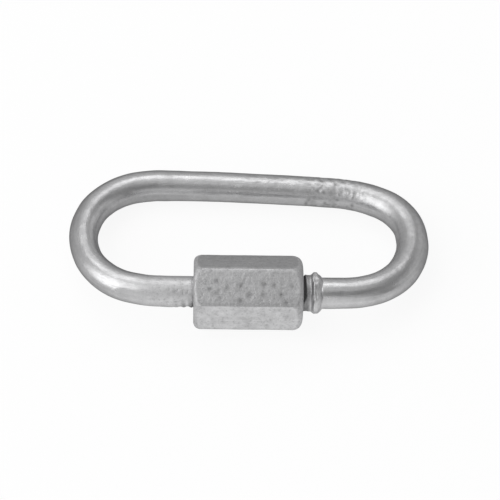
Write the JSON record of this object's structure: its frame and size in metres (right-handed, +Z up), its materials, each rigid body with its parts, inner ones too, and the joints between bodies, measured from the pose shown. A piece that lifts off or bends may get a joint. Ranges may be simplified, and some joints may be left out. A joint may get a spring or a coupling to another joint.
{
  "type": "chain quick link",
  "caption": "Oval quick link of round bar with a threaded gate in one side, closed by a long hexagon sleeve nut that screws up against a collar; joins chain, rope or rings.",
  "frame": {"origin": "middle of the link's bounding box, on the surface that it lies on", "axes": "+X along the gate arm towards the collar, +Y towards the back arm, +Z up from the surface that the link lies on"},
  "size_m": [0.0374, 0.0206, 0.0078],
  "materials": {
    "zinc_bar": "satin zinc plating on drawn steel bar",
    "zinc_nut": "dull, mottled zinc plating on steel"
  },
  "bodies": {
    "link": {"link_body": "zinc_bar"},
    "nut": {"hex_nut": "zinc_nut"}
  },
  "joints": [
    {"name": "nut_travel", "type": "slide", "parent": "link", "child": "nut", "axis": [1, 0, 0], "range_m": [-0.00506, 0.00094]}
  ]
}
